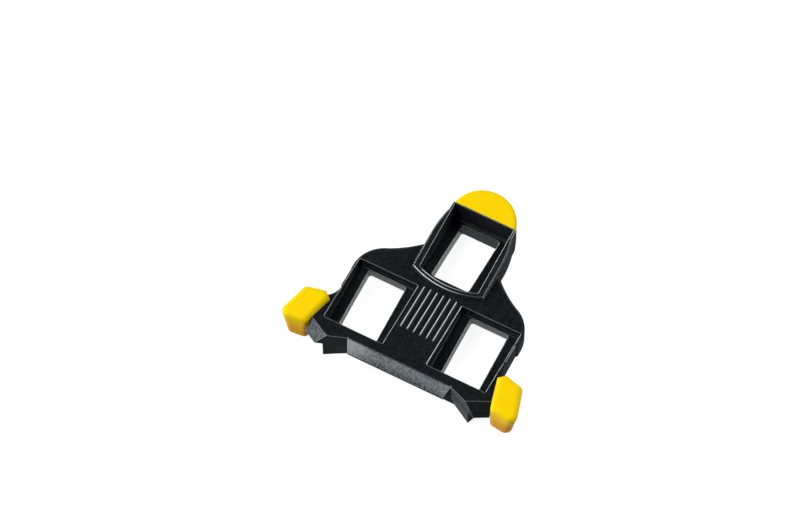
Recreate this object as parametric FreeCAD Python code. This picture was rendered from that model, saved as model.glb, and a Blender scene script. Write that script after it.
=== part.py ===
import FreeCAD, Part
import math
import os

# Clipless pedal cleat for a three-bolt road shoe.
# Frame: the shoe side is down and the pedal side is up (+Z), the nose points along +Y.
# The origin is the middle of the plan box on the plane that the cleat lies on.
# The drawing below counts y from the middle of the rear bolt windows; the finished pieces are
# then moved to the origin. All sizes are in millimetres and degrees.

# Bolt windows: a pair at the rear and one at the front, on the pattern of a road shoe
window_spacing_across = 34.5
window_spacing_along = 27.8
window_width = 12.5
window_length = 21.0
window_corner_radius = 0.8

# Pockets round the windows for the slotted washers
washer_length = 19.3
washer_clearance = 0.2
rear_seat_thickness = 3.6
front_seat_thickness = 4.2
pocket_corner_radius = 0.4
pocket_front_margin = 0.75
pocket_rear_margin = 1.3
pocket_foot_bevel = 0.6
front_pocket_rear_margin = 2.4
front_pocket_draft = 2.0

# Ends of the cleat, counted from the windows nearest to them
nose_reach = 10.35
tail_reach = 8.15

# Shoe side: an arch across the cleat that follows the curve of the sole
sole_radius = 120.0
rear_contact_inset = 1.0
front_contact_inset = 8.65

# Deck: the flat pedal side, falling towards the nose
deck_height = 11.7
deck_fall_angle = 5.0

# Nose block round the front pocket, and the lip and pad in front of it
nose_radius = 10.6
nose_flank_bulge = 0.45
nose_flank_setback = 1.2
nose_side_wall = 2.15
nose_rim_wall = 1.5
nose_block_rear_radius = 28.0
nose_block_height = 11.45
nose_block_rise_angle = 4.3
nose_block_edge_bevel = 0.35
nose_pad_length = 8.5
nose_pad_land = 0.3
nose_pad_thickness = 2.8
nose_pad_edge_radius = 1.0
nose_lip_height = 6.2
nose_lip_taper = 1.8
hoop_wall_lean = 30.0
nose_stud_radius = 1.0
nose_stud_depth = 1.6
nose_stud_spacing = 9.0

# Plan of the sides: flanks beside the nose, shoulders, wings beside the rear pockets, and flares
flank_hollow = 0.5
flank_end_inset = 6.5
flank_end_lead = 8.5
shoulder_bulge = 1.84
shoulder_edge_radius = 1.8
wing_wall = 1.1
wing_front_setback = 1.5
wing_front_length = 1.6
wing_step = 0.5
wing_rear_lead = 6.4
flare_hollow = 0.6
flare_reach = 2.0
flare_lead = 1.7

# Grip ribs on the deck between the rear pockets
rib_count = 6
rib_spacing = 2.17
rib_width = 1.0
rib_height = 0.6
rib_length = 15.3
rib_front_lead = 1.0

# Tail tongue that the pedal claw grips, with the free space below it
tongue_half_width = 17.3
tongue_taper = 1.3
tongue_top_inset = 3.5
tongue_top_radius = 1.0
tongue_edge_height = 8.75
tongue_edge_thickness = 0.8
claw_wall_inset = 4.25
claw_roof_height = 7.4

# Horn at each end of the tongue, and the corner plate above it
horn_root_step = 1.1
horn_tip_inset = 3.8
horn_outer_inset = 1.8
horn_heel_length = 1.0
corner_tip_inset = 1.5
corner_plate_height = 7.5
corner_facet_inset = 5.05
corner_recess_inset = 6.25

# Heel pads, moulded round lugs of the body
joint_length = 10.3
joint_lean = 2.7
joint_rear_inset = 2.35
heel_pad_width = 8.9
heel_pad_flare = 3.8
heel_pad_rear_sweep = 1.2
heel_pad_lead = 0.2
heel_pad_height = 14.6
heel_pad_floor = 2.2
heel_pad_fall_angle = 5.0
heel_pad_draft_angle = 9.0
heel_pad_edge_radius = 1.5
heel_pad_foot_bevel = 0.8
heel_pad_outer_radius = 2.2
heel_pad_inner_radius = 1.8
lug_reach = 4.2
lug_front_margin = 1.6
lug_rear_margin = 4.3
lug_floor = 4.2
lug_roof = 9.8

# Cores on the shoe side, which keep the walls of the moulding even
core_wall = 2.0
core_deck = 2.2
core_web = 1.4

# Places along the cleat, worked out from the sizes above
front_window_y = window_spacing_along
rear_window_front_y = window_length / 2
nose_tip_y = front_window_y + window_length / 2 + nose_reach
nose_arc_y = nose_tip_y - nose_radius
nose_pad_rear_y = nose_tip_y - nose_pad_length
front_pocket_wall_y = nose_pad_rear_y - nose_pad_land
front_contact_y = nose_tip_y - front_contact_inset
nose_flank_end_y = front_window_y - nose_flank_setback
front_pocket_rear_y = front_window_y - window_length / 2 - front_pocket_rear_margin
nose_block_rear_y = front_pocket_rear_y - nose_rim_wall
flank_end_y = rear_window_front_y + flank_end_lead
wing_front_y = rear_window_front_y - wing_front_setback
wing_step_y = wing_front_y - wing_front_length
rib_front_y = rear_window_front_y + rib_front_lead
rib_rear_y = rib_front_y - rib_length
rear_tip_y = -window_length / 2 - tail_reach
rear_contact_y = rear_tip_y + rear_contact_inset
tongue_top_y = rear_tip_y + tongue_top_inset
claw_wall_y = rear_tip_y + claw_wall_inset
corner_facet_top_y = rear_tip_y + corner_facet_inset
corner_recess_y = rear_tip_y + corner_recess_inset
horn_heel_y = corner_recess_y - horn_heel_length
joint_rear_y = rear_tip_y + joint_rear_inset
joint_front_y = joint_rear_y + joint_length
heel_pad_front_y = joint_front_y + heel_pad_lead
heel_pad_rear_y = joint_rear_y - heel_pad_rear_sweep
flare_end_y = joint_front_y + flare_lead
wing_rear_y = joint_front_y + wing_rear_lead
origin_y = (nose_tip_y + rear_tip_y) / 2

# Places across the cleat, worked out from the sizes above
rear_window_x = window_spacing_across / 2
pocket_width = washer_length + 2 * washer_clearance
nose_half_width = pocket_width / 2 + nose_side_wall
wing_half_width = rear_window_x + pocket_width / 2 + wing_wall
flank_end_x = wing_half_width - flank_end_inset
flare_end_x = wing_half_width + flare_reach
horn_root_x = tongue_half_width + horn_root_step
horn_tip_x = wing_half_width - horn_tip_inset
horn_outer_x = wing_half_width - horn_outer_inset
corner_tip_x = wing_half_width - corner_tip_inset
joint_front_x = wing_half_width
joint_rear_x = joint_front_x + joint_lean
heel_pad_front_x = joint_front_x + heel_pad_width
heel_pad_corner_x = heel_pad_front_x + heel_pad_flare
beyond = 2 * heel_pad_corner_x

# The arch of the sole
half_chord = (front_contact_y - rear_contact_y) / 2
sole_middle_y = (front_contact_y + rear_contact_y) / 2
sole_centre_z = -math.sqrt(sole_radius ** 2 - half_chord ** 2)


def slope_of(angle):
    return math.tan(math.radians(angle))


def point(x, y, z=0.0):
    return FreeCAD.Vector(x, y, z)


def line(start, end):
    return Part.LineSegment(start, end).toShape()


def arc(start, middle, end):
    return Part.Arc(start, middle, end).toShape()


def bowed(start, end, bow):
    # Arc whose middle stands off its chord by the bow, to the left of the way from start to end
    chord = end - start
    middle = (start + end) / 2 + point(-chord.y, chord.x) * (bow / chord.Length)
    return arc(start, middle, end)


def mirrored(shape):
    return shape.mirror(point(0, 0), point(1, 0))


def polygon_face(points):
    return Part.Face(Part.makePolygon(points + points[:1]))


def prism(face, bottom, top):
    solid = face.extrude(point(0, 0, top - bottom))
    solid.translate(point(0, 0, bottom))
    return solid


def profile_across(points, half_width):
    # A closed outline of (y, z) points, run across the cleat
    face = polygon_face([point(-half_width, y, z) for y, z in points])
    return face.extrude(point(2 * half_width, 0, 0))


def below(height_at):
    # The space under a plane whose height depends on y alone
    points = [
        (-beyond, -beyond),
        (beyond, -beyond),
        (beyond, height_at(beyond)),
        (-beyond, height_at(-beyond)),
    ]
    return profile_across(points, beyond)


def above(height_at):
    points = [
        (-beyond, height_at(-beyond)),
        (beyond, height_at(beyond)),
        (beyond, beyond),
        (-beyond, beyond),
    ]
    return profile_across(points, beyond)


def ahead_of(y):
    return Part.makeBox(2 * beyond, beyond, 2 * beyond, point(-beyond, y, -beyond))


def rounded_polygon(corners, radii):
    # Plan face from its corners in order, each with the radius that rounds it, or 0 where it is sharp
    starts = []
    ends = []
    edges = []
    for index, corner in enumerate(corners):
        to_last = (corners[index - 1] - corner).normalize()
        to_next = (corners[(index + 1) % len(corners)] - corner).normalize()
        radius = radii[index]
        half_angle = to_last.getAngle(to_next) / 2
        setback = radius / math.tan(half_angle)
        inward = (to_last + to_next).normalize()
        middle = corner + inward * (radius / math.sin(half_angle) - radius)
        starts.append(corner + to_last * setback)
        ends.append(corner + to_next * setback)
        if radius > 0:
            edges.append(arc(starts[index], middle, ends[index]))
    for index, start in enumerate(starts):
        edges.append(line(ends[index - 1], start))
    return Part.Face(Part.Wire(Part.__sortEdges__(edges)))


def rounded_rectangle(width, length, radius):
    # Plan outline about the origin
    x = width / 2
    y = length / 2
    return rounded_polygon([point(-x, -y), point(x, -y), point(x, y), point(-x, y)], [radius] * 4)


def deck_z(y):
    return deck_height - slope_of(deck_fall_angle) * y


def nose_z(y):
    return nose_block_height + slope_of(nose_block_rise_angle) * (y - nose_block_rear_y)


def nose_seat_z(y):
    return nose_z(y) - nose_pad_thickness


def sole_z(y):
    return sole_centre_z + math.sqrt(sole_radius ** 2 - (y - sole_middle_y) ** 2)


def sole_pitch(y):
    # Lean of the sole normal towards the nose at y, in degrees
    return math.degrees(math.asin((y - sole_middle_y) / sole_radius))


def washer_seat_z(window_y, thickness):
    # Height of the washer seat as a plane square to the sole normal at the window
    middle_z = sole_z(window_y) + thickness
    fall = slope_of(sole_pitch(window_y))
    return lambda y: middle_z - fall * (y - window_y)


def joint_x(y):
    # Joint between the body and the right heel pad, straight in plan
    share = (y - joint_front_y) / (joint_rear_y - joint_front_y)
    return joint_front_x + share * (joint_rear_x - joint_front_x)


def corner_wall_y(x):
    # Rear wall of the corner plate, straight in plan from the tongue to the corner tip
    share = (x - tongue_half_width) / (corner_tip_x - tongue_half_width)
    return tongue_top_y + share * (rear_tip_y - tongue_top_y)


def over_sole(shape):
    # Trims a piece on the shoe side by the curve of the sole
    start = point(-beyond, sole_middle_y, sole_centre_z)
    return shape.cut(Part.makeCylinder(sole_radius, 2 * beyond, start, point(1, 0, 0)))


def nose_edges():
    # Right half of the nose in plan, from the tip to the end of the nose flank
    diagonal = nose_radius * math.sqrt(0.5)
    nose_side = point(nose_radius, nose_arc_y)
    return [
        arc(point(0, nose_tip_y), point(diagonal, nose_arc_y + diagonal), nose_side),
        bowed(nose_side, point(nose_half_width, nose_flank_end_y), nose_flank_bulge),
    ]


def both_halves(right_edges):
    # Plan face from its right half and the mirror image of that
    edges = right_edges + [mirrored(edge) for edge in right_edges]
    return Part.Face(Part.Wire(Part.__sortEdges__(edges)))


def plate_outline():
    # Outline of the deck, from the nose round the right side to the claw wall, and its mirror image
    flank_start = point(nose_half_width, nose_flank_end_y)
    flank_end = point(flank_end_x, flank_end_y)
    wing_front = point(wing_half_width, wing_front_y)
    step_outer = point(wing_half_width, wing_step_y)
    step_inner = point(wing_half_width - wing_step, wing_step_y - wing_step)
    wing_rear = point(wing_half_width - wing_step, wing_rear_y)
    flare_end = point(flare_end_x, flare_end_y)
    joint_front = point(joint_front_x, joint_front_y)
    joint_rear = point(joint_x(claw_wall_y), claw_wall_y)
    return both_halves(nose_edges() + [
        bowed(flank_start, flank_end, -flank_hollow),
        bowed(flank_end, wing_front, shoulder_bulge),
        line(wing_front, step_outer),
        line(step_outer, step_inner),
        line(step_inner, wing_rear),
        bowed(wing_rear, flare_end, -flare_hollow),
        line(flare_end, joint_front),
        line(joint_front, joint_rear),
        line(joint_rear, point(0, claw_wall_y)),
    ])


def nose_block():
    # Raised block round the front pocket, with a bowed rear edge and a bevel along its rear and side edges
    circle_y = nose_block_rear_y + nose_block_rear_radius
    half_turn = math.asin(nose_half_width / nose_block_rear_radius) / 2
    corner = point(nose_half_width, circle_y - nose_block_rear_radius * math.cos(2 * half_turn))
    middle_x = nose_block_rear_radius * math.sin(half_turn)
    middle = point(middle_x, circle_y - nose_block_rear_radius * math.cos(half_turn))
    outline = both_halves(nose_edges() + [
        line(point(nose_half_width, nose_flank_end_y), corner),
        arc(corner, middle, point(0, nose_block_rear_y)),
    ])
    block = prism(outline, 0, beyond).common(below(nose_z))
    return block.makeChamfer(nose_block_edge_bevel, [edge for edge in block.Edges if is_block_edge(edge)])


def is_block_edge(edge):
    # Upper edges of the nose block that stand above the deck
    middle = edge.valueAt((edge.FirstParameter + edge.LastParameter) / 2)
    return abs(middle.z - nose_z(middle.y)) < 0.01 and middle.y < nose_flank_end_y


def tongue():
    # Wedge between the horns: a steep ramp above and the grip face of the claw below
    points = [
        (claw_wall_y, claw_roof_height),
        (rear_contact_y, tongue_edge_height - tongue_edge_thickness),
        (rear_contact_y, tongue_edge_height),
        (tongue_top_y, deck_z(tongue_top_y)),
        (claw_wall_y, deck_z(claw_wall_y)),
    ]
    outline = [
        point(-tongue_half_width, claw_wall_y),
        point(-tongue_half_width, tongue_top_y),
        point(tongue_taper - tongue_half_width, rear_contact_y),
        point(tongue_half_width - tongue_taper, rear_contact_y),
        point(tongue_half_width, tongue_top_y),
        point(tongue_half_width, claw_wall_y),
    ]
    wedge = profile_across(points, tongue_half_width)
    wedge = wedge.makeFillet(tongue_top_radius, [edge for edge in wedge.Edges if is_tongue_top(edge)])
    return wedge.common(prism(polygon_face(outline), 0, beyond))


def is_tongue_top(edge):
    # The edge across the cleat where the deck turns into the ramp
    middle = edge.CenterOfMass
    return abs(middle.x) < 0.01 and abs(middle.y - tongue_top_y) < 0.01


def corner_plate():
    # Plate behind the right pocket that overhangs the shoe side
    outline = [
        point(tongue_half_width, claw_wall_y),
        point(tongue_half_width, tongue_top_y),
        point(corner_tip_x, rear_tip_y),
        point(joint_rear_x, joint_rear_y),
        point(joint_x(claw_wall_y), claw_wall_y),
    ]
    return prism(polygon_face(outline), corner_plate_height, beyond)


def corner_facet():
    # Space cut off the right rear corner by the slanted facet between the horn and the heel pad
    tip = point(corner_tip_x, rear_tip_y, corner_plate_height)
    side = point(joint_rear_x, joint_rear_y, corner_plate_height)
    top = point(joint_x(corner_facet_top_y), corner_facet_top_y, deck_z(corner_facet_top_y))
    space = Part.makeBox(2 * beyond, 2 * beyond, beyond, point(-beyond, -beyond, 0))
    normal = (side - tip).cross(top - tip)
    space.Placement = FreeCAD.Placement(tip, FreeCAD.Rotation(point(0, 0, 1), normal))
    return space


def horn():
    # Fin below the corner plate that comes down to the sole beside the claw space
    foot = [
        point(horn_root_x, claw_wall_y),
        point(horn_tip_x, rear_contact_y),
        point(horn_outer_x, horn_heel_y),
        point(horn_outer_x, corner_recess_y),
        point(horn_root_x, corner_recess_y),
    ]
    head = [
        point(tongue_half_width, tongue_top_y),
        point(horn_tip_x, corner_wall_y(horn_tip_x)),
        point(horn_outer_x, horn_heel_y),
        point(horn_outer_x, corner_recess_y),
        point(tongue_half_width, corner_recess_y),
    ]
    head = [corner + point(0, 0, corner_plate_height) for corner in head]
    wires = [Part.makePolygon(corners + corners[:1]) for corners in (foot, head)]
    return Part.makeLoft(wires, True, True)


def corner_recess():
    # Free space below the corner plate, between the horn and the heel pad
    return Part.makeBox(beyond, beyond, corner_plate_height, point(horn_outer_x, corner_recess_y - beyond))


def rib(index):
    # Half-round grip rib that runs along the slope of the deck
    x = (index - (rib_count - 1) / 2) * rib_spacing
    z = deck_z(rib_rear_y)
    left = point(x - rib_width / 2, rib_rear_y, z)
    right = point(x + rib_width / 2, rib_rear_y, z)
    crown = point(x, rib_rear_y, z + rib_height)
    root = point(0, 0, -rib_height)
    edges = [
        arc(left, crown, right),
        line(right, right + root),
        line(right + root, left + root),
        line(left + root, left),
    ]
    face = Part.Face(Part.Wire(edges))
    return face.extrude(point(0, rib_length, deck_z(rib_front_y) - z))


def window(y, thickness):
    # Through window on the middle line, square to the sole
    face = rounded_rectangle(window_width, window_length, window_corner_radius)
    cutter = prism(face, -beyond, beyond / 2)
    cutter.rotate(point(0, 0), point(1, 0), -sole_pitch(y))
    cutter.translate(point(0, y, sole_z(y) + thickness))
    return cutter


def rear_pocket():
    # Washer pocket and window on the right of the ribs, with a small bevel along the foot of each end wall
    seat_z = washer_seat_z(0, rear_seat_thickness)
    front_y = rear_window_front_y + pocket_front_margin
    rear_y = -rear_window_front_y - pocket_rear_margin
    points = [
        (rear_y, beyond),
        (rear_y, seat_z(rear_y) + pocket_foot_bevel),
        (rear_y + pocket_foot_bevel, seat_z(rear_y + pocket_foot_bevel)),
        (front_y - pocket_foot_bevel, seat_z(front_y - pocket_foot_bevel)),
        (front_y, seat_z(front_y) + pocket_foot_bevel),
        (front_y, beyond),
    ]
    outline = rounded_rectangle(pocket_width, front_y - rear_y, pocket_corner_radius)
    outline.translate(point(0, (front_y + rear_y) / 2))
    recess = profile_across(points, pocket_width / 2).common(prism(outline, 0, beyond))
    pocket = recess.fuse(window(0, rear_seat_thickness))
    pocket.translate(point(rear_window_x, 0))
    return pocket


def front_pocket():
    # Washer pocket and window in the nose block, with a leaning front wall and a bowed rear wall
    seat_z = washer_seat_z(front_window_y, front_seat_thickness)
    wall_height = nose_z(front_pocket_wall_y) - seat_z(front_pocket_wall_y)
    wall_foot_y = front_pocket_wall_y - slope_of(front_pocket_draft) * wall_height
    points = [
        (-beyond, seat_z(-beyond)),
        (wall_foot_y - pocket_foot_bevel, seat_z(wall_foot_y - pocket_foot_bevel)),
        (wall_foot_y, seat_z(wall_foot_y) + pocket_foot_bevel),
        (front_pocket_wall_y, nose_z(front_pocket_wall_y)),
        (front_pocket_wall_y, beyond),
        (-beyond, beyond),
    ]
    inner_radius = nose_block_rear_radius - nose_rim_wall
    bow = Part.makeCylinder(inner_radius, beyond, point(0, front_pocket_rear_y + inner_radius))
    recess = profile_across(points, pocket_width / 2).common(bow)
    upright = [edge for edge in recess.Edges if is_upright(edge)]
    recess = recess.makeFillet(pocket_corner_radius, upright)
    return recess.fuse(window(front_window_y, front_seat_thickness))


def is_upright(edge):
    direction = edge.tangentAt(edge.FirstParameter)
    return abs(direction.z) > 0.9 and edge.CenterOfMass.y < front_window_y


def nose_stud(side):
    # Round stud under the nose pad that keys it into the lip
    stud_y = nose_pad_rear_y + 2 * nose_stud_radius
    foot = point(side * nose_stud_spacing / 2, stud_y, nose_seat_z(stud_y) - nose_stud_depth)
    return Part.makeCylinder(nose_stud_radius, nose_pad_thickness, foot)


def nose_seat():
    # Space that the nose pad takes out of the body
    space = prism(plate_outline(), 0, beyond).common(ahead_of(nose_pad_rear_y))
    return space.common(above(nose_seat_z))


def nose_pad():
    # Half-moon pad on the lip, rounded along its free edge
    moon = nose_seat().common(below(nose_z))
    rim = [edge for edge in moon.Edges if is_pad_rim(edge)]
    moon = moon.makeFillet(nose_pad_edge_radius, rim)
    return moon.fuse([nose_stud(-1), nose_stud(1)])


def is_pad_rim(edge):
    # The curved edge along the top of the nose pad
    middle = edge.valueAt((edge.FirstParameter + edge.LastParameter) / 2)
    on_top = abs(middle.z - nose_z(middle.y)) < 0.1
    return on_top and middle.y > nose_pad_rear_y + 0.1


def hoop_space():
    # Free space below the lip for the front hoop of the pedal, with a tapered lip edge
    edge_z = nose_seat_z(nose_pad_rear_y)
    points = [
        (front_contact_y, 0),
        (beyond, 0),
        (beyond, edge_z),
        (front_contact_y + slope_of(hoop_wall_lean) * edge_z, edge_z),
    ]
    foot = point(0, nose_arc_y, nose_lip_height)
    lip = Part.makeCone(nose_radius - nose_lip_taper, nose_radius, edge_z - nose_lip_height, foot)
    return profile_across(points, beyond).cut(lip)


def lug():
    # Lug on the right side of the body that the heel pad is moulded round
    front_y = joint_front_y - lug_front_margin
    rear_y = joint_rear_y + lug_rear_margin
    outline = [
        point(joint_x(front_y) - wing_wall, front_y),
        point(joint_x(front_y) + lug_reach, front_y),
        point(joint_x(rear_y) + lug_reach, rear_y),
        point(joint_x(rear_y) - wing_wall, rear_y),
    ]
    return prism(polygon_face(outline), lug_floor, lug_roof)


def heel_pad_top_z(y):
    return heel_pad_height + slope_of(heel_pad_fall_angle) * (y - joint_front_y)


def heel_pad():
    # Right heel pad: a round-edged block that stands proud of the deck, with a leaning outer face
    corners = [
        point(joint_front_x, joint_front_y),
        point(joint_rear_x, joint_rear_y),
        point(heel_pad_corner_x, heel_pad_rear_y),
        point(heel_pad_front_x, heel_pad_front_y),
        point(flare_end_x, flare_end_y),
    ]
    outline = rounded_polygon(corners, [0, heel_pad_inner_radius, 0, 0, 0])
    block = prism(outline, heel_pad_floor, beyond).common(below(heel_pad_top_z)).cut(heel_pad_lean())
    block = block.makeFillet(heel_pad_outer_radius, [edge for edge in block.Edges if is_pad_corner(edge)])
    block = block.makeFillet(heel_pad_edge_radius, [edge for edge in block.Edges if is_pad_top(edge)])
    block = block.makeChamfer(heel_pad_foot_bevel, [edge for edge in block.Edges if is_pad_foot(edge)])
    return block.cut(lug())


def heel_pad_lean():
    # Space outside the leaning outer face of the right heel pad
    side_run = heel_pad_front_y - heel_pad_rear_y
    side_angle = math.degrees(math.atan2(heel_pad_corner_x - heel_pad_front_x, side_run))
    lean = Part.makeBox(beyond, 2 * beyond, 2 * beyond, point(0, -beyond, -beyond))
    lean.rotate(point(0, 0), point(0, 1), heel_pad_draft_angle)
    lean.rotate(point(0, 0), point(0, 0, 1), side_angle)
    lean.translate(point(heel_pad_front_x, heel_pad_front_y, heel_pad_height + heel_pad_edge_radius))
    return lean


def is_pad_corner(edge):
    # Upright edges at the two outer corners of the heel pad
    direction = edge.tangentAt(edge.FirstParameter)
    return abs(direction.z) > 0.9 and edge.CenterOfMass.x > flare_end_x + heel_pad_flare


def is_pad_top(edge):
    # Edges round the top of the heel pad
    middle = edge.valueAt((edge.FirstParameter + edge.LastParameter) / 2)
    return abs(middle.z - heel_pad_top_z(middle.y)) < 0.01


def is_pad_foot(edge):
    # Edges round the underside of the heel pad
    middle = edge.valueAt((edge.FirstParameter + edge.LastParameter) / 2)
    return abs(middle.z - heel_pad_floor) < 0.01


def core():
    # Blind core on the shoe side, under the ribs on the right
    outer_x = rear_window_x - pocket_width / 2 - core_wall
    width = outer_x - core_web / 2
    well = Part.makeBox(width, rib_length, beyond, point(core_web / 2, rib_rear_y))
    return well.common(below(lambda y: deck_z(y) - core_deck))


def wing():
    # Right side of the plate behind the shoulder, with a sharp upper edge
    length = wing_step_y - wing_step - wing_rear_y
    width = wing_half_width - wing_step - flank_end_x
    return Part.makeBox(width, length, beyond, point(flank_end_x, wing_rear_y))


def is_shoulder_edge(edge):
    # Upper edges from the nose round the shoulder to the rear end of the wing
    middle = edge.valueAt((edge.FirstParameter + edge.LastParameter) / 2)
    on_deck = abs(middle.z - deck_z(middle.y)) < 0.01
    beside_nose = wing_rear_y < middle.y < nose_flank_end_y
    return on_deck and beside_nose and abs(middle.x) > nose_half_width


def deck_plate():
    # Main plate under the deck, with rounded shoulders and the corners behind it
    slab = prism(plate_outline(), 0, beyond).common(below(deck_z))
    slab = slab.makeFillet(shoulder_edge_radius, [edge for edge in slab.Edges if is_shoulder_edge(edge)])
    slab = slab.cut([corner_recess(), mirrored(corner_recess())])
    sides = [wing(), mirrored(wing()), corner_plate(), mirrored(corner_plate())]
    plate = slab.fuse(sides).common(below(deck_z))
    return plate.cut([corner_facet(), mirrored(corner_facet())])


def cleat_body():
    ribs = [rib(index) for index in range(rib_count)]
    fins = [horn(), mirrored(horn()), lug(), mirrored(lug())]
    body = deck_plate().fuse([tongue(), nose_block()] + fins + ribs)
    pockets = [front_pocket(), rear_pocket(), mirrored(rear_pocket())]
    hollows = [core(), mirrored(core()), hoop_space(), nose_seat(), nose_stud(-1), nose_stud(1)]
    return over_sole(body.cut(pockets + hollows)).removeSplitter()


os.makedirs("parts", exist_ok=True)
right_heel_pad = heel_pad()
pieces = {
    "cleat_body": cleat_body(),
    "nose_pad": nose_pad(),
    "right_heel_pad": right_heel_pad,
    "left_heel_pad": mirrored(right_heel_pad),
}
for name, shape in pieces.items():
    shape.translate(point(0, -origin_y))
    shape.exportStep("parts/" + name + ".step")
    size = shape.optimalBoundingBox()
    print(name, shape.isValid(), len(shape.Solids), round(shape.Volume, 1), size)
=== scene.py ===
import math

import bpy
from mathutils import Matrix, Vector

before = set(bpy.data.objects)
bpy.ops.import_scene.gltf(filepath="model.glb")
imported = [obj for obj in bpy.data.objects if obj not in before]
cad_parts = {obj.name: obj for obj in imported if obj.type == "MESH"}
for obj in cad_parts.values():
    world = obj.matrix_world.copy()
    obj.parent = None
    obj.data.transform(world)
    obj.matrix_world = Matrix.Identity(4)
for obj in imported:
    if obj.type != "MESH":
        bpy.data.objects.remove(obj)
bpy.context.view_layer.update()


# Body: the black moulding that carries everything, with its washer pockets, ribs, tongue and horns.
# Glass-filled nylon, injection moulded in one shot: a satin skin with fine spark-eroded grain, matt
# steep walls, smooth window walls and a coarse ramp. The ramp is painted greyer, partly for its coarser
# skin and partly as painted light, and the corners, rib crests and rims carry painted highlights.
NYLON_BLACK = "#060809"
NYLON_STREAK = "#1F2427"
# Painted highlights: a pale colour on the outer corners, and a paler one on the thin lines of rib crests
# and rims
NYLON_EDGE_HIGHLIGHT = "#C8CED1"
NYLON_CREST_HIGHLIGHT = "#DCE0E2"
# Grey of the ramp, partly its coarser skin and partly painted light, and painted light alone on the left
# facet
NYLON_RAMP_GREY_AND_LIT = "#2A3235"
# Pale colour for the painted light on the ramp's ends and top, and for its speckle
NYLON_RAMP_LIT_AND_SPECKLE = "#9AA0A3"
NYLON_GLOSS_TINT = "#E5F4FF"

# Sizes and places on the body, in mm
NYLON_GRAIN = 0.60
NYLON_STREAK_WIDTH = 1.6
NYLON_STREAK_LENGTH = 14.0
CORNER_RADIUS = 0.40
HOLLOW_REACH = 0.8
REAR_END_Y = -26.5
RAMP_RIGHT_X = 17.0
RAMP_LEFT_X = -17.5
RAMP_MIDDLE_Z = 9.4
RAMP_TOP_Z = 10.8
# Where the painted light on the ramp's ends starts and where it is full
RAMP_LEFT_LIGHT_X = (-8.0, -16.0)
RAMP_RIGHT_LIGHT_X = (13.0, 16.5)
HORN_MIDDLE_X = 21.2
HORN_REACH = 3.9
WINDOW_REACH = (6.7, 10.9)
REAR_WINDOW = (17.25, -15.0)
FRONT_WINDOW = (0.0, 12.8)
RIB_FIELD = (0.0, -11.15)
RIB_FIELD_REACH = (6.2, 7.75)
RIB_SPACING = 2.17
BOW_CENTRE_Y = 26.4
BOW_OUTER_RADIUS = 27.66
BOW_INNER_RADIUS = 26.60
BOW_BAND_RADIUS = 27.95
BOW_BAND_REACH = 0.6
BOW_FADE_X = (6.0, -3.0)
BOW_RIM = (0.0, -0.25)
BOW_OUTER_REACH = (11.9, 1.45)
BOW_INNER_REACH = (9.7, 1.45)
POCKET_RIM = (7.30, -15.2)
POCKET_RIM_REACH = (0.5, 11.3)
LINE_WIDTH = 0.22

# How strongly each of these shows, from 0 to 1
# Painted light on the ramp's left end, right end and top
LEFT_END_LIGHT = 0.62
RIGHT_END_LIGHT = 0.15
TOP_LIGHT = 0.25
SPECKLE_WEAR = 0.40
# Painted light on the right horn's wall
HORN_PAINTED_LIGHT = 0.32
# Least share of the painted highlight on the bow's lines, at its right end
BOW_HIGHLIGHT_LEAST = 0.08
MATT_WALL_ROUGHNESS = 0.60


def linear(hex_colour):
    # An sRGB hex value as the linear colour that a shader takes
    channels = [int(hex_colour[i:i + 2], 16) / 255 for i in (1, 3, 5)]
    return [c / 12.92 if c <= 0.04045 else ((c + 0.055) / 1.055) ** 2.4 for c in channels] + [1.0]


def add_node(tree, kind, inputs=None, **settings):
    # Adds a node with its settings: an input is a value, a socket, or a node whose first output is linked
    node = tree.nodes.new(kind)
    for name, value in settings.items():
        setattr(node, name, value)
    for name, value in (inputs or {}).items():
        if isinstance(value, bpy.types.Node):
            value = value.outputs[0]
        if isinstance(value, bpy.types.NodeSocket):
            tree.links.new(value, node.inputs[name])
        else:
            node.inputs[name].default_value = value
    return node


def per_mm(size):
    # Texture scale in cells per metre for a cell of this many millimetres
    return 1000.0 / size


def overlap(tree, *masks):
    # 1 only where each of these masks is 1
    result = masks[0]
    for mask in masks[1:]:
        result = add_node(tree, "ShaderNodeMath", {0: result, 1: mask}, operation="MULTIPLY")
    return result


def plan_box(tree, x, y, middle, reach):
    # 1 inside a box on the plan and 0 outside it, in mm
    across = add_node(tree, "ShaderNodeMath", {0: x, 1: middle[0], 2: reach[0]}, operation="COMPARE")
    along = add_node(tree, "ShaderNodeMath", {0: y, 1: middle[1], 2: reach[1]}, operation="COMPARE")
    return overlap(tree, across, along)


def highlight_line(tree, away):
    # 1 on a thin painted highlight line and 0 beside it, worked out from how far away its middle is
    return add_node(tree, "ShaderNodeMapRange", {
        "Value": away, "From Min": LINE_WIDTH / 1.5, "From Max": LINE_WIDTH / 2.5,
    })


def at_rear(tree, y):
    # 1 on the tongue and the horns behind the deck, and 0 on the deck
    return add_node(tree, "ShaderNodeMapRange", {
        "Value": y, "From Min": REAR_END_Y, "From Max": REAR_END_Y - 1.0,
    })


def ramp_mask(tree, x, y, lean):
    # 1 on the tongue's ramp and the left facet, which lean to the rear towards the low rear box, and 0
    # elsewhere; the grey laid there is partly the ramp's coarser skin and partly painted light, and on the
    # facet only painted light
    left_of_horn = add_node(tree, "ShaderNodeMapRange", {
        "Value": x, "From Min": RAMP_RIGHT_X + 0.4, "From Max": RAMP_RIGHT_X,
    })
    leans_back = add_node(tree, "ShaderNodeMapRange", {
        "Value": lean.outputs["Y"], "From Min": -0.25, "From Max": -0.75,
    })
    faces_up = add_node(tree, "ShaderNodeMapRange", {
        "Value": lean.outputs["Z"], "From Min": 0.15, "From Max": 0.35,
    })
    return overlap(tree, at_rear(tree, y), left_of_horn, leans_back, faces_up)


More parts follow.
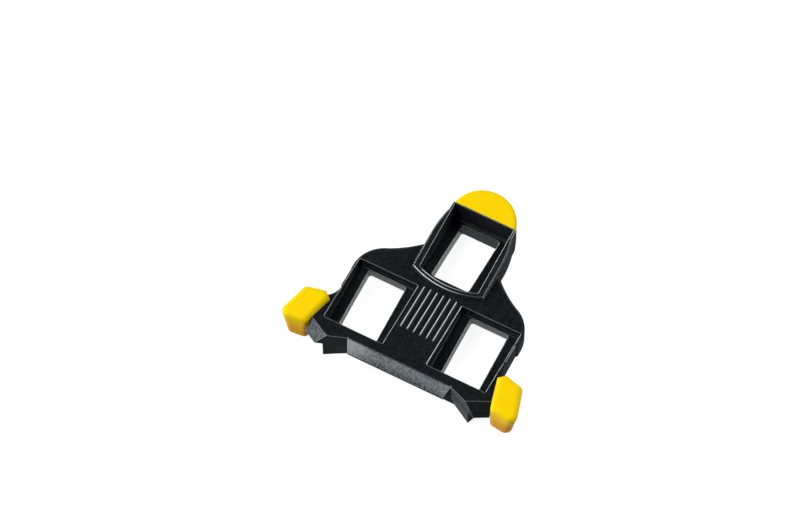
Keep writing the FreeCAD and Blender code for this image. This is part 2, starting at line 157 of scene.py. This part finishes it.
def lit_horn_wall_mask(tree, x, y, lean):
    # 1 on the wall of the right horn that looks back across the ramp towards the rear box, and 0 elsewhere;
    # that wall is painted greyer there as painted light
    on_horn = add_node(tree, "ShaderNodeMath", {0: x, 1: HORN_MIDDLE_X, 2: HORN_REACH}, operation="COMPARE")
    leans_left = add_node(tree, "ShaderNodeMapRange", {
        "Value": lean.outputs["X"], "From Min": -0.2, "From Max": -0.4,
    })
    return overlap(tree, at_rear(tree, y), on_horn, leans_left)


def window_mask(tree, x, y):
    # 1 on the walls of the three bolt windows and 0 elsewhere
    side = add_node(tree, "ShaderNodeMath", {0: x}, operation="ABSOLUTE")
    rear = plan_box(tree, side, y, REAR_WINDOW, WINDOW_REACH)
    front = plan_box(tree, x, y, FRONT_WINDOW, WINDOW_REACH)
    return add_node(tree, "ShaderNodeMath", {0: rear, 1: front}, operation="ADD", use_clamp=True)


def ramp_light_and_speckle(tree, x, z, grain):
    # The ramp is painted paler towards its ends and along its top as painted light, with a coarse speckle
    # of its grain
    on_ramp = add_node(tree, "ShaderNodeMapRange", {
        "Value": x, "From Min": RAMP_LEFT_X - 1.0, "From Max": RAMP_LEFT_X,
    })
    left_end = add_node(tree, "ShaderNodeMapRange", {
        "Value": x, "From Min": RAMP_LEFT_LIGHT_X[0], "From Max": RAMP_LEFT_LIGHT_X[1],
        "To Max": LEFT_END_LIGHT,
    })
    top = add_node(tree, "ShaderNodeMapRange", {
        "Value": z, "From Min": RAMP_MIDDLE_Z, "From Max": RAMP_TOP_Z, "To Max": TOP_LIGHT,
    })
    right_end = add_node(tree, "ShaderNodeMapRange", {
        "Value": x, "From Min": RAMP_RIGHT_LIGHT_X[0], "From Max": RAMP_RIGHT_LIGHT_X[1],
        "To Max": RIGHT_END_LIGHT,
    })
    speckle = add_node(tree, "ShaderNodeMapRange", {
        "Value": grain, "From Min": 0.38, "From Max": 0.62, "To Max": SPECKLE_WEAR,
    })
    light_and_speckle = overlap(tree, left_end, on_ramp)
    for more in (right_end, overlap(tree, top, on_ramp), speckle):
        light_and_speckle = add_node(tree, "ShaderNodeMath", {0: light_and_speckle, 1: more}, operation="ADD", use_clamp=True)
    return light_and_speckle


def rib_crest_highlights(tree, x, y, upward):
    # The field of the ribs on the deck, and the thin painted highlight line on the crest of each
    field = overlap(tree, plan_box(tree, x, y, RIB_FIELD, RIB_FIELD_REACH), upward)
    half = RIB_SPACING / 2
    from_gap = add_node(tree, "ShaderNodeMath", {0: x, 1: half}, operation="PINGPONG")
    from_crest = add_node(tree, "ShaderNodeMath", {0: half, 1: from_gap}, operation="SUBTRACT")
    return field, overlap(tree, field, highlight_line(tree, from_crest))


def bowed_rim_highlights(tree, x, y, upward):
    # The bowed rear rim of the nose block, and the painted highlight lines on its two edges, fading to the
    # right
    along = add_node(tree, "ShaderNodeMath", {0: y, 1: BOW_CENTRE_Y}, operation="SUBTRACT")
    flat = add_node(tree, "ShaderNodeCombineXYZ", {"X": x, "Y": along})
    radius = add_node(tree, "ShaderNodeVectorMath", {0: flat}, operation="LENGTH").outputs["Value"]
    rim = overlap(tree, plan_box(tree, x, y, BOW_RIM, BOW_OUTER_REACH), upward)
    outer_band = add_node(tree, "ShaderNodeMath", {
        0: radius, 1: BOW_BAND_RADIUS, 2: BOW_BAND_REACH,
    }, operation="COMPARE")
    highlight_lines = []
    for place, reach in ((BOW_OUTER_RADIUS, BOW_OUTER_REACH), (BOW_INNER_RADIUS, BOW_INNER_REACH)):
        away = add_node(tree, "ShaderNodeMath", {0: radius, 1: place}, operation="SUBTRACT")
        away = add_node(tree, "ShaderNodeMath", {0: away}, operation="ABSOLUTE")
        highlight_lines.append(overlap(tree, highlight_line(tree, away), plan_box(tree, x, y, BOW_RIM, reach)))
    both = add_node(tree, "ShaderNodeMath", {0: highlight_lines[0], 1: highlight_lines[1]}, operation="MAXIMUM")
    fading = add_node(tree, "ShaderNodeMapRange", {
        "Value": x, "From Min": BOW_FADE_X[0], "From Max": BOW_FADE_X[1], "To Min": BOW_HIGHLIGHT_LEAST,
    })
    return overlap(tree, rim, outer_band), overlap(tree, rim, both, fading)


def pocket_rim_highlight(tree, x, y, upward):
    # The painted highlight line along the right pocket's inner rim
    away = add_node(tree, "ShaderNodeMath", {0: x, 1: POCKET_RIM[0]}, operation="SUBTRACT")
    away = add_node(tree, "ShaderNodeMath", {0: away}, operation="ABSOLUTE")
    beside = plan_box(tree, x, y, POCKET_RIM, POCKET_RIM_REACH)
    return overlap(tree, highlight_line(tree, away), beside, upward)


def outer_corners(tree, rounded, true_normal):
    # 1 on the outer corners along the cleat, where a rounded normal leaves the true one, less across it;
    # this is where the painted edge highlight goes
    agree = add_node(tree, "ShaderNodeVectorMath", {0: rounded, 1: true_normal}, operation="DOT_PRODUCT")
    turned = add_node(tree, "ShaderNodeVectorMath", {0: rounded, 1: true_normal}, operation="SUBTRACT")
    turned = add_node(tree, "ShaderNodeSeparateXYZ", {"Vector": turned})
    across = add_node(tree, "ShaderNodeMath", {0: turned.outputs["X"]}, operation="ABSOLUTE")
    along = add_node(tree, "ShaderNodeMath", {0: turned.outputs["Y"]}, operation="ABSOLUTE")
    sideways = add_node(tree, "ShaderNodeMath", {0: across, 1: along}, operation="SUBTRACT")
    hollow = add_node(tree, "ShaderNodeAmbientOcclusion", {"Distance": HOLLOW_REACH / 1000},
                      samples=8, only_local=True)
    bend = add_node(tree, "ShaderNodeMapRange", {
        "Value": agree.outputs["Value"], "From Min": 0.985, "From Max": 0.93,
    })
    standing = add_node(tree, "ShaderNodeMapRange", {
        "Value": hollow.outputs["AO"], "From Min": 0.62, "From Max": 0.88,
    })
    lengthwise = add_node(tree, "ShaderNodeMapRange", {
        "Value": sideways, "From Min": -0.10, "From Max": 0.15, "To Min": 0.35,
    })
    return overlap(tree, bend, standing, lengthwise)


def painted_highlights(tree, x, y, lean, rounded, true_normal):
    # How strongly the painted highlight shows on the corners, and where the brighter painted highlight
    # lines show
    upward = add_node(tree, "ShaderNodeMath", {0: lean.outputs["Z"], 1: 0.3}, operation="GREATER_THAN")
    rib_field, crest_highlights = rib_crest_highlights(tree, x, y, upward)
    rim_field, bow_highlights = bowed_rim_highlights(tree, x, y, upward)
    drawn = add_node(tree, "ShaderNodeMath", {0: rib_field, 1: rim_field}, operation="MAXIMUM")
    elsewhere = add_node(tree, "ShaderNodeMath", {0: 1.0, 1: drawn}, operation="SUBTRACT")
    quieter_on_walls = add_node(tree, "ShaderNodeMapRange", {
        "Value": lean.outputs["Z"], "From Min": 0.2, "From Max": 0.6, "To Min": 0.3,
    })
    edge_highlights = overlap(tree, outer_corners(tree, rounded, true_normal), elsewhere, quieter_on_walls)
    highlight_lines = crest_highlights
    for more in (bow_highlights, pocket_rim_highlight(tree, x, y, upward)):
        highlight_lines = add_node(tree, "ShaderNodeMath", {0: highlight_lines, 1: more}, operation="MAXIMUM")
    return edge_highlights, highlight_lines


def matt_walls(tree, x, y, lean, ramp):
    # 1 on steep walls outside the windows, which are matt, and 0 on the satin rest
    steep = add_node(tree, "ShaderNodeMapRange", {
        "Value": lean.outputs["Z"], "From Min": 0.78, "From Max": 0.66,
    })
    outside = add_node(tree, "ShaderNodeMath", {0: 1.0, 1: window_mask(tree, x, y)}, operation="SUBTRACT")
    off_ramp = add_node(tree, "ShaderNodeMath", {0: 1.0, 1: ramp}, operation="SUBTRACT")
    return overlap(tree, steep, outside, off_ramp)


def moulded_nylon():
    material = bpy.data.materials.new("glass_filled_nylon")
    material.use_nodes = True
    tree = material.node_tree
    shader = tree.nodes["Principled BSDF"]
    place = add_node(tree, "ShaderNodeTexCoord").outputs["Object"]
    in_mm = add_node(tree, "ShaderNodeVectorMath", {0: place, "Scale": 1000.0}, operation="SCALE")
    axes = add_node(tree, "ShaderNodeSeparateXYZ", {"Vector": in_mm})
    x, y, z = (axes.outputs[name] for name in "XYZ")
    true_normal = add_node(tree, "ShaderNodeNewGeometry").outputs["Normal"]
    lean = add_node(tree, "ShaderNodeSeparateXYZ", {"Vector": true_normal})
    rounded = add_node(tree, "ShaderNodeBevel", {"Radius": CORNER_RADIUS / 1000}, samples=8)

    # Flow streaks, long along the moulding and narrow across it, and the grain, which is really
    # about 0.05 mm wide and is drawn coarser so that it shows
    along = add_node(tree, "ShaderNodeMapping", {
        "Vector": place,
        "Scale": (per_mm(NYLON_STREAK_WIDTH), per_mm(NYLON_STREAK_LENGTH), per_mm(NYLON_STREAK_WIDTH)),
    })
    flow = add_node(tree, "ShaderNodeTexNoise", {
        "Vector": along, "Scale": 1.0, "Detail": 4.0, "Roughness": 0.6,
    })
    grain = add_node(tree, "ShaderNodeTexNoise", {
        "Vector": place, "Scale": per_mm(NYLON_GRAIN), "Detail": 2.0, "Roughness": 0.55,
    })
    flow_share = add_node(tree, "ShaderNodeMapRange", {
        "Value": flow, "From Min": 0.3, "From Max": 0.7, "To Max": 0.5,
    })
    grain_share = add_node(tree, "ShaderNodeMapRange", {
        "Value": grain, "From Min": 0.42, "From Max": 0.58, "To Max": 0.5,
    })
    mottle = add_node(tree, "ShaderNodeMath", {0: flow_share, 1: grain_share}, operation="ADD")

    # Colours of the skin, the ramp with its painted light, and the painted highlights on the corners and
    # thin lines, each laid over the one before
    # Painted light: the right horn's wall, the ramp and the left facet are made greyer
    horn_light = overlap(tree, lit_horn_wall_mask(tree, x, y, lean), HORN_PAINTED_LIGHT)
    ramp = add_node(tree, "ShaderNodeMath", {0: ramp_mask(tree, x, y, lean), 1: horn_light}, operation="MAXIMUM")
    # Painted highlights on the corners and on the thin lines
    edge_highlights, highlight_lines = painted_highlights(tree, x, y, lean, rounded.outputs["Normal"], true_normal)
    ramp_skin_and_light = add_node(tree, "ShaderNodeMix", {
        "Factor": ramp_light_and_speckle(tree, x, z, grain), "A": linear(NYLON_RAMP_GREY_AND_LIT), "B": linear(NYLON_RAMP_LIT_AND_SPECKLE),
    }, data_type="RGBA").outputs["Result"]
    colour = linear(NYLON_BLACK)
    for share, coat in (
        (mottle, linear(NYLON_STREAK)),
        (ramp, ramp_skin_and_light),
        (edge_highlights, linear(NYLON_EDGE_HIGHLIGHT)),
        (highlight_lines, linear(NYLON_CREST_HIGHLIGHT)),
    ):
        colour = add_node(tree, "ShaderNodeMix", {
            "Factor": share, "A": colour, "B": coat,
        }, data_type="RGBA").outputs["Result"]

    satin = add_node(tree, "ShaderNodeMapRange", {
        "Value": grain, "From Min": 0.3, "From Max": 0.7, "To Min": 0.28, "To Max": 0.38,
    })
    roughness = add_node(tree, "ShaderNodeMath", {
        0: matt_walls(tree, x, y, lean, ramp), 1: MATT_WALL_ROUGHNESS, 2: satin,
    }, operation="MULTIPLY_ADD")
    bump = add_node(tree, "ShaderNodeBump", {
        "Height": grain, "Normal": rounded, "Strength": 0.35, "Distance": 0.00006,
    })
    tree.links.new(colour, shader.inputs["Base Color"])
    tree.links.new(roughness.outputs["Value"], shader.inputs["Roughness"])
    tree.links.new(bump.outputs["Normal"], shader.inputs["Normal"])
    shader.inputs["IOR"].default_value = 1.46
    shader.inputs["Specular IOR Level"].default_value = 0.22
    shader.inputs["Specular Tint"].default_value = linear(NYLON_GLOSS_TINT)
    return material


nylon = moulded_nylon()
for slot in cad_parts["cleat_body"].material_slots:
    slot.material = nylon


# Nose pad and heel pads: the parts that touch the ground when the rider walks.
# A soft polyurethane elastomer moulded onto the nylon, bright yellow all through, with a smooth
# skin that is a little waxy, so light enters it slightly. The low sides are painted a deeper orange,
# darker towards the bottom, as painted shade.
PAD_YELLOW = "#FFDA00"
# Painted shade on the pads' low sides
PAD_SHADED_ORANGE = "#E29A00"

# Sizes and heights on the pads, in mm, the grain drawn coarser than it is so that it shows
PAD_SHADE_BELOW = 6.0
PAD_YELLOW_ABOVE = 13.0
PAD_CORNER_RADIUS = 0.9
PAD_MOTTLE = 6.0
PAD_GRAIN = 0.5


def moulded_elastomer():
    material = bpy.data.materials.new("polyurethane_elastomer")
    material.use_nodes = True
    tree = material.node_tree
    shader = tree.nodes["Principled BSDF"]
    place = add_node(tree, "ShaderNodeTexCoord").outputs["Object"]
    mottle = add_node(tree, "ShaderNodeTexNoise", {
        "Vector": place, "Scale": per_mm(PAD_MOTTLE), "Detail": 3.0, "Roughness": 0.5,
    })
    grain = add_node(tree, "ShaderNodeTexNoise", {
        "Vector": place, "Scale": per_mm(PAD_GRAIN), "Detail": 2.0, "Roughness": 0.5,
    })
    height = add_node(tree, "ShaderNodeSeparateXYZ", {"Vector": place}).outputs["Z"]
    # Painted shade: deeper orange towards the bottom of the pads, with some random mottle
    shade_and_mottle = add_node(tree, "ShaderNodeMapRange", {
        "Value": height, "From Min": PAD_YELLOW_ABOVE / 1000, "From Max": PAD_SHADE_BELOW / 1000,
        "To Max": 0.85,
    })
    shade_and_mottle = add_node(tree, "ShaderNodeMath", {0: mottle, 1: 0.15, 2: shade_and_mottle},
                     operation="MULTIPLY_ADD", use_clamp=True)
    colour = add_node(tree, "ShaderNodeMix", {
        "Factor": shade_and_mottle, "A": linear(PAD_YELLOW), "B": linear(PAD_SHADED_ORANGE),
    }, data_type="RGBA")
    gloss = add_node(tree, "ShaderNodeMapRange", {
        "Value": mottle, "From Min": 0.3, "From Max": 0.7, "To Min": 0.40, "To Max": 0.50,
    })
    rounded = add_node(tree, "ShaderNodeBevel", {"Radius": PAD_CORNER_RADIUS / 1000}, samples=8)
    bump = add_node(tree, "ShaderNodeBump", {
        "Height": grain, "Normal": rounded, "Strength": 0.2, "Distance": 0.00004,
    })
    tree.links.new(colour.outputs["Result"], shader.inputs["Base Color"])
    tree.links.new(gloss.outputs["Result"], shader.inputs["Roughness"])
    tree.links.new(bump.outputs["Normal"], shader.inputs["Normal"])
    shader.inputs["IOR"].default_value = 1.5
    shader.inputs["Specular IOR Level"].default_value = 0.07
    shader.inputs["Subsurface Weight"].default_value = 0.12
    shader.inputs["Subsurface Radius"].default_value = (1.0, 0.5, 0.05)
    shader.inputs["Subsurface Scale"].default_value = 0.001
    return material


elastomer = moulded_elastomer()
for name in ("nose_pad", "right_heel_pad", "left_heel_pad"):
    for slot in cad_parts[name].material_slots:
        slot.material = elastomer


# Table: a plain white sweep that the cleat lies on.
# It shows as white to the eye and in the reflections of the black skin, and keeps a faint shadow.
FLOOR_SIZE = 3.0
FLOOR_WHITE = 0.30
FLOOR_GLOW = 0.90

bpy.ops.object.select_all(action="DESELECT")
bpy.ops.mesh.primitive_plane_add(size=FLOOR_SIZE, location=(0, 0, 0))
floor = bpy.context.object
floor.name = "table"


def seen_directly(tree):
    # 1 for what the eye, a reflection or clear glass sees, and 0 for the light that it sheds
    path = add_node(tree, "ShaderNodeLightPath")
    seen = add_node(tree, "ShaderNodeMath", {
        0: path.outputs["Is Camera Ray"], 1: path.outputs["Is Glossy Ray"],
    }, operation="ADD")
    return add_node(tree, "ShaderNodeMath", {
        0: seen, 1: path.outputs["Is Transmission Ray"],
    }, operation="ADD", use_clamp=True)


def white_sweep():
    material = bpy.data.materials.new("white_paper")
    material.use_nodes = True
    tree = material.node_tree
    shader = tree.nodes["Principled BSDF"]
    shader.inputs["Base Color"].default_value = (FLOOR_WHITE, FLOOR_WHITE, FLOOR_WHITE, 1)
    shader.inputs["Roughness"].default_value = 0.9
    glow = add_node(tree, "ShaderNodeMath", {0: seen_directly(tree), 1: FLOOR_GLOW}, operation="MULTIPLY")
    shader.inputs["Emission Color"].default_value = (1, 1, 1, 1)
    tree.links.new(glow.outputs["Value"], shader.inputs["Emission Strength"])
    return material


floor.data.materials.append(white_sweep())


# Studio: grey walls low down under a darker ceiling, with four soft boxes, one of them low at the rear.
# The dark ceiling keeps the deck black, and the low box puts a broad light on the tongue's ramp.
WALL_WHITE = 0.3
CEILING_GREY = 0.12
ROOM_GREY = 0.05


def studio_world():
    world = bpy.data.worlds.new("studio")
    world.use_nodes = True
    bpy.context.scene.world = world
    tree = world.node_tree
    background = tree.nodes["Background"]
    direction = add_node(tree, "ShaderNodeTexCoord").outputs["Generated"]
    height = add_node(tree, "ShaderNodeSeparateXYZ", {"Vector": direction}).outputs["Z"]
    level = add_node(tree, "ShaderNodeMapRange", {
        "Value": height, "From Min": 0.05, "From Max": 0.35, "To Min": WALL_WHITE, "To Max": CEILING_GREY,
    })
    strength = add_node(tree, "ShaderNodeMix", {
        "Factor": seen_directly(tree), "A": ROOM_GREY, "B": level,
    })
    background.inputs["Color"].default_value = (1, 1, 1, 1)
    tree.links.new(strength.outputs["Result"], background.inputs["Strength"])


studio_world()

LAMP_DISTANCE = 1.6
LAMPS = [
    # name, direction from the cleat, side of the square box in metres, radiance
    ("box_front_right", (0.73, 0.42, 0.53), 0.80, 7.0),
    ("box_left_low", (-0.85, 0.10, 0.53), 0.80, 7.0),
    ("box_left_high", (-0.40, -0.30, 0.87), 0.60, 8.3),
    ("box_rear", (-0.62, -0.77, 0.14), 0.72, 9.5),
]

for name, direction, side, radiance in LAMPS:
    towards_lamp = Vector(direction)
    bpy.ops.object.light_add(type="AREA", location=towards_lamp.normalized() * LAMP_DISTANCE)
    lamp = bpy.context.object
    lamp.name = name
    lamp.data.shape = "SQUARE"
    lamp.data.size = side
    lamp.data.energy = radiance * math.pi * side * side
    lamp.rotation_euler = towards_lamp.to_track_quat("Z", "Y").to_euler()
    lamp.visible_camera = False


# Camera: behind and to the right of the cleat, looking steeply down at it.
# It stands far off behind a long lens, so that the far end is hardly smaller than the near one.
TARGET = Vector((-17.4, 3.55, 7.0)) / 1000
AZIMUTH = 27.8
ELEVATION = 63.0
DISTANCE = 1.8
PIXELS_PER_MM = 3.33
PHOTO_WIDTH = 800

az = math.radians(AZIMUTH)
el = math.radians(ELEVATION)
towards = Vector((math.sin(az) * math.cos(el), -math.cos(az) * math.cos(el), math.sin(el)))
bpy.ops.object.camera_add(location=TARGET + towards * DISTANCE)
camera = bpy.context.object
camera.rotation_euler = towards.to_track_quat("Z", "Y").to_euler()
camera.data.sensor_fit = "HORIZONTAL"
camera.data.sensor_width = 36.0
camera.data.lens = camera.data.sensor_width * DISTANCE * 1000 * PIXELS_PER_MM / PHOTO_WIDTH
camera.data.clip_end = 10.0
bpy.context.scene.camera = camera
bpy.context.scene.view_settings.view_transform = "Standard"
